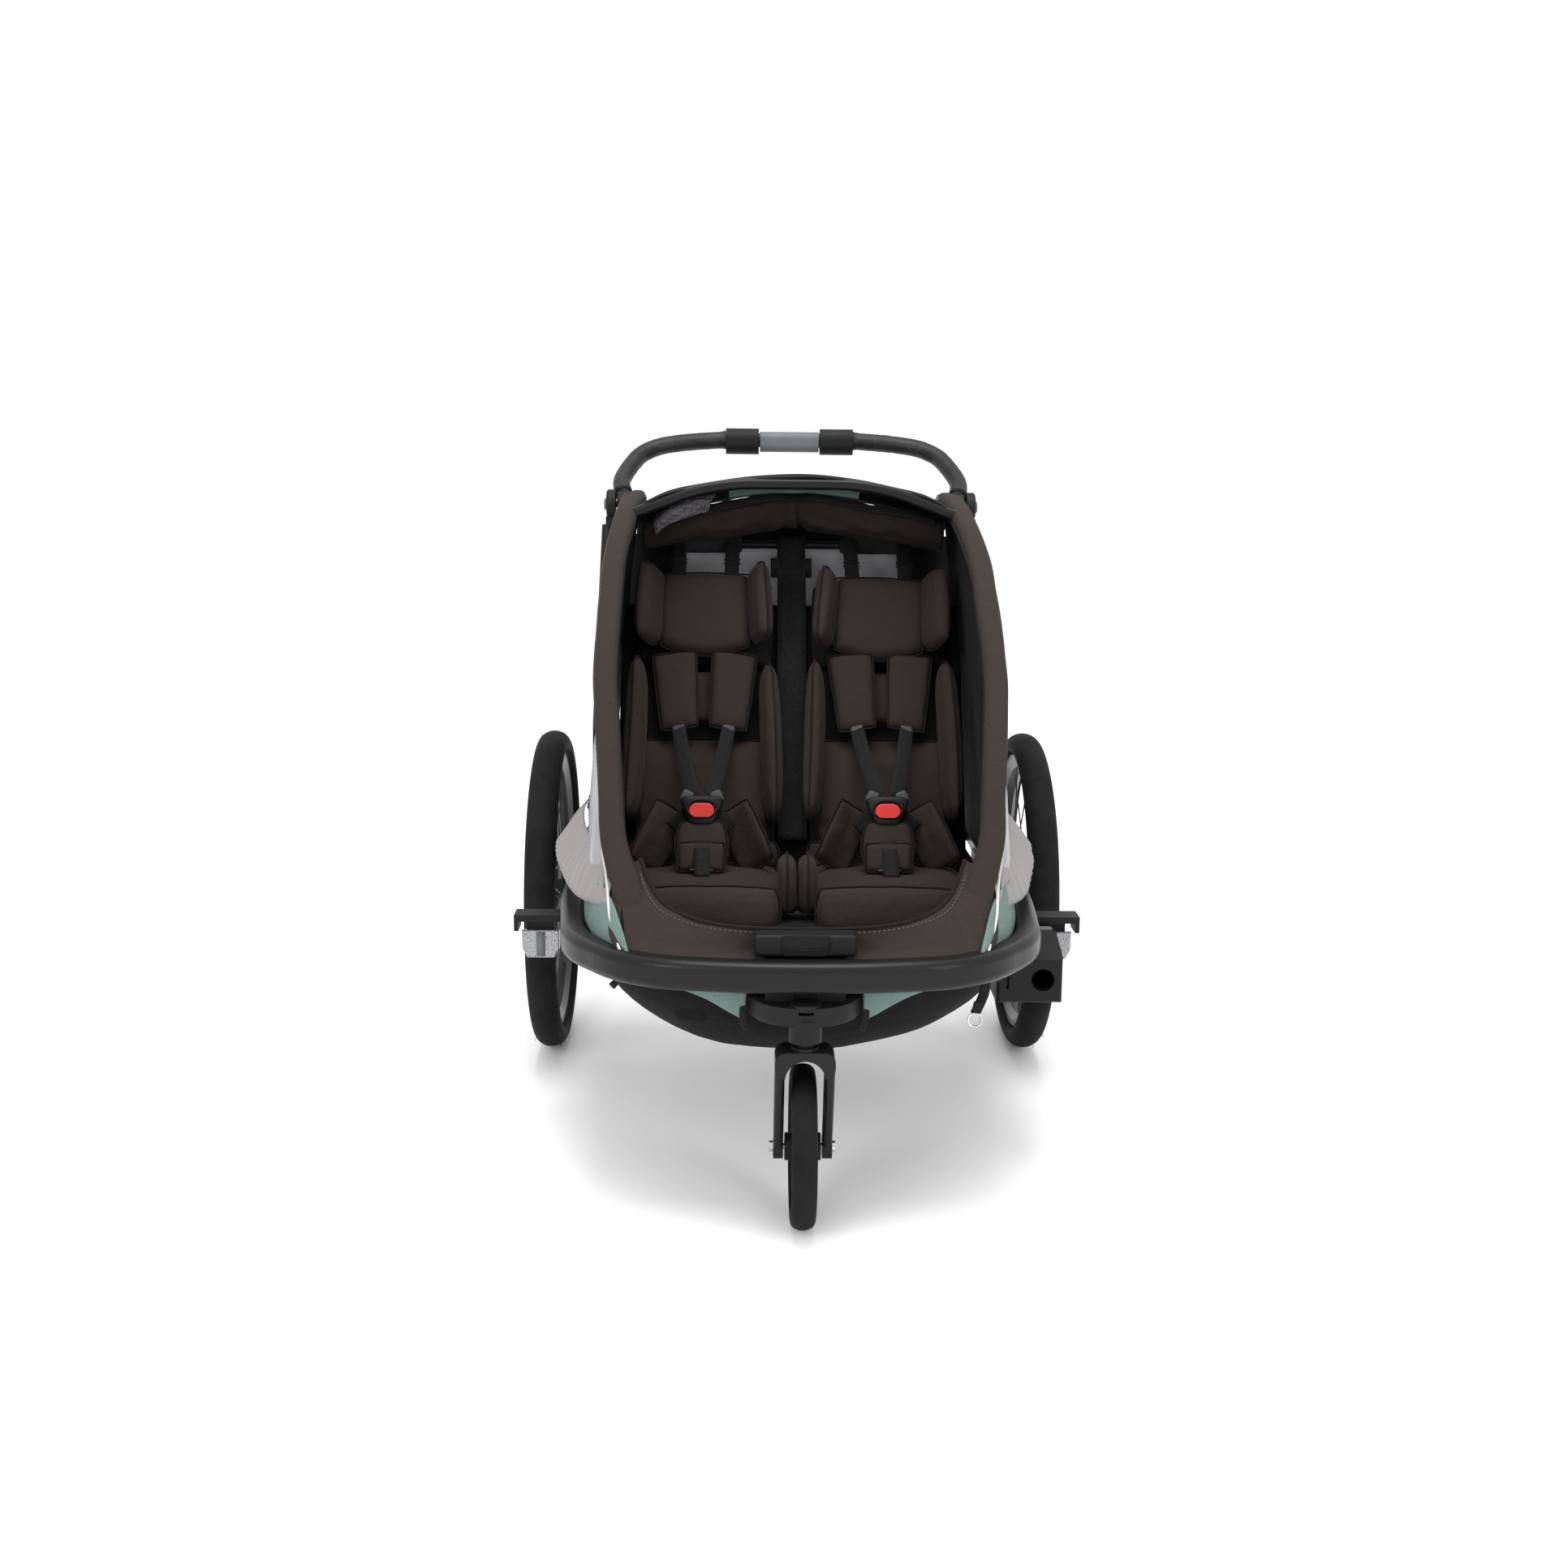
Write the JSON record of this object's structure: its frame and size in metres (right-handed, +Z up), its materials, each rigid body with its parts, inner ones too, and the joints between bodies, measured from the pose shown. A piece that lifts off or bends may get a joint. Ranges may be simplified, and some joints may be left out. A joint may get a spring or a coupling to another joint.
{
  "type": "child bicycle trailer",
  "caption": "Side-by-side two-seat child bicycle trailer with spoked wheels, swivelling stroller wheel, folding frame, padded harness seats and tilting push bar.",
  "frame": {"origin": "centre of the bounding box at ground level, where the tyres touch the ground", "axes": "+X to the right seen from the front, +Y to the rear, +Z up"},
  "size_m": [0.7928, 1.081, 0.9719],
  "materials": {
    "frame_black": "satin powder coat",
    "plastic_black": "fine moulded texture",
    "plastic_grey": "fine moulded texture",
    "steel": "satin",
    "spoke_black": "satin black",
    "tyre": "rubber tread",
    "reflector": "clear prismatic",
    "red_plastic": "gloss",
    "brown_fabric": "melange weave",
    "green_fabric": "melange weave",
    "grey_fabric": "woven",
    "window_film": "clear film",
    "black_fabric": "heavy woven",
    "webbing": "ribbed webbing",
    "foam": "closed cell foam",
    "leather": "stitched synthetic leather"
  },
  "bodies": {
    "chassis": {"bumper_loop": "frame_black", "cross_tubes": "frame_black", "axle_beam": "frame_black", "axle_hangers": "plastic_black", "wheel_axles": "steel", "hinge_brackets": "plastic_black", "hinge_bolts": "steel", "chassis_bolts": "steel", "reflector_arms": "plastic_black", "side_reflectors": "reflector", "hitch_receiver": "plastic_black", "front_clip": "plastic_black", "d_ring_strap": "webbing", "d_ring": "steel", "caster_mount": "plastic_black", "belly_fabric": "black_fabric", "seat_cushions": "brown_fabric", "back_pads": "brown_fabric", "bolsters": "brown_fabric", "lap_pads": "brown_fabric", "buckles": "plastic_black", "lap_webbing": "webbing", "front_flap": "brown_fabric", "cabin_sides": "green_fabric", "shoulder_pads": "brown_fabric"},
    "upper_frame": {"left_pillar": "frame_black", "right_pillar": "frame_black", "roof_bar": "frame_black", "headrest_crossbar": "frame_black", "crossbar_foams": "foam", "pillar_sleeves": "brown_fabric", "rolled_cover": "brown_fabric", "roof_fabric": "black_fabric", "headrests": "brown_fabric", "upper_backs": "brown_fabric"},
    "rear_hoop": {"rear_uprights": "frame_black", "upright_hubs": "plastic_black"},
    "handlebar": {"handlebar_tube": "frame_black", "handle_clamps": "plastic_black", "handle_grip": "plastic_grey", "handle_sleeves": "leather"},
    "left_handle_button": {"left_handle_button": "plastic_grey"},
    "right_handle_button": {"right_handle_button": "plastic_grey"},
    "left_buckle_button": {"left_buckle_button": "red_plastic"},
    "right_buckle_button": {"right_buckle_button": "red_plastic"},
    "hitch_button": {"hitch_button": "plastic_grey"},
    "caster_release": {"caster_release": "plastic_black"},
    "brake": {"brake_bar": "frame_black"},
    "left_wheel": {"left_tyre": "tyre", "left_rim": "spoke_black", "left_spokes": "spoke_black", "left_hub": "plastic_black"},
    "right_wheel": {"right_tyre": "tyre", "right_rim": "spoke_black", "right_spokes": "spoke_black", "right_hub": "plastic_black"},
    "caster": {"caster_fork": "frame_black", "caster_axle_bolt": "steel"},
    "caster_wheel": {"front_tyre": "tyre", "front_rim": "plastic_black"}
  },
  "joints": [
    {"name": "left_wheel_spin", "type": "hinge", "parent": "chassis", "child": "left_wheel", "pos_m": [-0.372, 0.2905, 0.25], "axis": [1, 0, 0], "continuous": true},
    {"name": "right_wheel_spin", "type": "hinge", "parent": "chassis", "child": "right_wheel", "pos_m": [0.372, 0.2905, 0.25], "axis": [1, 0, 0], "continuous": true},
    {"name": "caster_swivel", "type": "hinge", "parent": "chassis", "child": "caster", "pos_m": [0, -0.4875, 0.2], "axis": [0, 0, 1], "continuous": true},
    {"name": "caster_spin", "type": "hinge", "parent": "caster", "child": "caster_wheel", "pos_m": [0, -0.4395, 0.101], "axis": [1, 0, 0], "continuous": true},
    {"name": "frame_fold", "type": "hinge", "parent": "chassis", "child": "rear_hoop", "pos_m": [0, 0.3305, 0.378], "axis": [1, 0, 0], "range_deg": [0, 75], "deforming": ["cabin_sides", "shoulder_pads", "rolled_cover", "roof_fabric", "headrests", "upper_backs"]},
    {"name": "upper_fold", "type": "hinge", "parent": "chassis", "child": "upper_frame", "pos_m": [0, -0.3815, 0.352], "axis": [1, 0, 0], "range_deg": [-35, 0]},
    {"name": "handle_tilt", "type": "hinge", "parent": "rear_hoop", "child": "handlebar", "pos_m": [0, 0.3655, 0.852], "axis": [1, 0, 0], "range_deg": [-60, 45]},
    {"name": "left_handle_press", "type": "slide", "parent": "rear_hoop", "child": "left_handle_button", "axis": [1, 0, 0], "range_m": [0, 0.003], "stiffness_N_per_m": 400},
    {"name": "right_handle_press", "type": "slide", "parent": "rear_hoop", "child": "right_handle_button", "axis": [-1, 0, 0], "range_m": [0, 0.003], "stiffness_N_per_m": 400},
    {"name": "left_buckle_press", "type": "slide", "parent": "chassis", "child": "left_buckle_button", "axis": [0, 0.9135, -0.4067], "range_m": [0, 0.003], "stiffness_N_per_m": 400},
    {"name": "right_buckle_press", "type": "slide", "parent": "chassis", "child": "right_buckle_button", "axis": [0, 0.9135, -0.4067], "range_m": [0, 0.003], "stiffness_N_per_m": 400},
    {"name": "hitch_press", "type": "slide", "parent": "chassis", "child": "hitch_button", "axis": [0, 0, -1], "range_m": [0, 0.003], "stiffness_N_per_m": 400},
    {"name": "caster_release_press", "type": "slide", "parent": "chassis", "child": "caster_release", "axis": [0, 0, -1], "range_m": [0, 0.0022], "stiffness_N_per_m": 500},
    {"name": "brake_step", "type": "hinge", "parent": "chassis", "child": "brake", "pos_m": [0, 0.3245, 0.268], "axis": [1, 0, 0], "range_deg": [-18, 0]}
  ],
  "couplings": [
    {"joint": "upper_fold", "follows": "frame_fold", "ratio": -0.46667}
  ]
}
